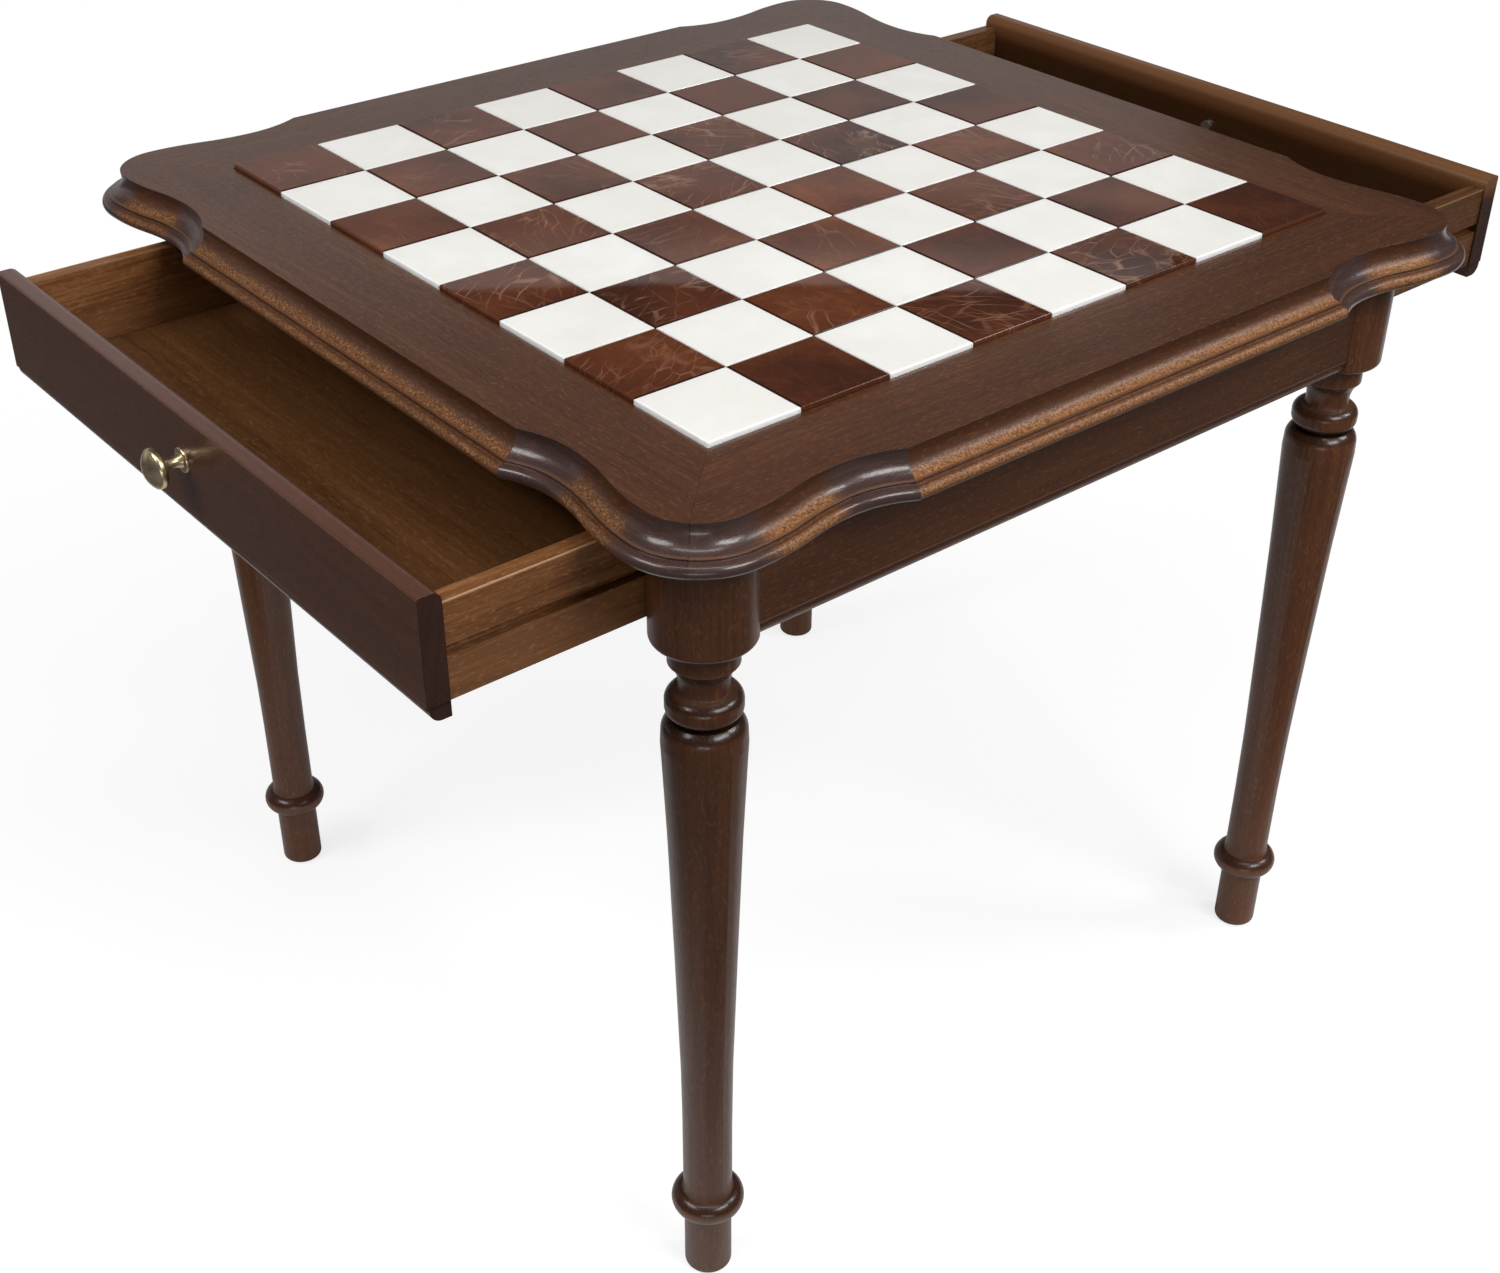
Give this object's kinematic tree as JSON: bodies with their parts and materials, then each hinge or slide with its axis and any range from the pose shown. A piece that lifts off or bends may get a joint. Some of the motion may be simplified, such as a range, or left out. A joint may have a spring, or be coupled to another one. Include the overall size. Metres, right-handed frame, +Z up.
{
  "type": "chess table with inlaid board",
  "caption": "Dark wood chess table with a raised board of brown and white alabaster tiles, a scooped moulded border, turned legs and a drawer at either end with a brass knob.",
  "frame": {"origin": "on the floor, midway between the four feet", "axes": "+Z up, -Y out through the front drawer, +Y out through the back drawer, +X towards the right apron"},
  "size_m": [0.5974, 0.8454, 0.533],
  "materials": {
    "dark_wood": "dark walnut stain, semi-gloss lacquer",
    "drawer_wood": "brown stain, satin lacquer",
    "frame_wood": "brown stain, matt",
    "plain_hardwood": "bare beech",
    "brown_alabaster": "polished opaque stone",
    "white_alabaster": "polished opaque stone",
    "brass": "polished",
    "steel": "plain zinc"
  },
  "bodies": {
    "table": {"apron_dowels": "plain_hardwood", "apron_left": "dark_wood", "apron_right": "dark_wood", "board_bed": "frame_wood", "border_rail_back": "dark_wood", "border_rail_front": "dark_wood", "border_rail_left": "dark_wood", "border_rail_right": "dark_wood", "brown_tiles": "brown_alabaster", "centre_rail": "frame_wood", "guide_board_left": "frame_wood", "guide_board_right": "frame_wood", "kicker_dowels": "plain_hardwood", "kicker_rail_back": "frame_wood", "kicker_rail_front": "frame_wood", "kicker_screws": "steel", "leg_back_left": "dark_wood", "leg_back_right": "dark_wood", "leg_front_left": "dark_wood", "leg_front_right": "dark_wood", "mitre_splines": "plain_hardwood", "runner_back_left": "frame_wood", "runner_back_right": "frame_wood", "runner_front_left": "frame_wood", "runner_front_right": "frame_wood", "runner_screws": "steel", "white_tiles": "white_alabaster"},
    "front_drawer": {"front_drawer_back": "drawer_wood", "front_drawer_bottom": "drawer_wood", "front_drawer_dowels": "plain_hardwood", "front_drawer_front": "dark_wood", "front_drawer_knob": "brass", "front_drawer_knob_screw": "steel", "front_drawer_left_side": "drawer_wood", "front_drawer_right_side": "drawer_wood"},
    "back_drawer": {"back_drawer_back": "drawer_wood", "back_drawer_bottom": "drawer_wood", "back_drawer_dowels": "plain_hardwood", "back_drawer_front": "dark_wood", "back_drawer_knob": "brass", "back_drawer_knob_screw": "steel", "back_drawer_left_side": "drawer_wood", "back_drawer_right_side": "drawer_wood"}
  },
  "joints": [
    {"name": "front_drawer_slide", "type": "slide", "parent": "table", "child": "front_drawer", "axis": [0, -1, 0], "range_m": [-0.12025, 0.06475]},
    {"name": "back_drawer_slide", "type": "slide", "parent": "table", "child": "back_drawer", "axis": [0, 1, 0], "range_m": [-0.15725, 0.02775]}
  ]
}
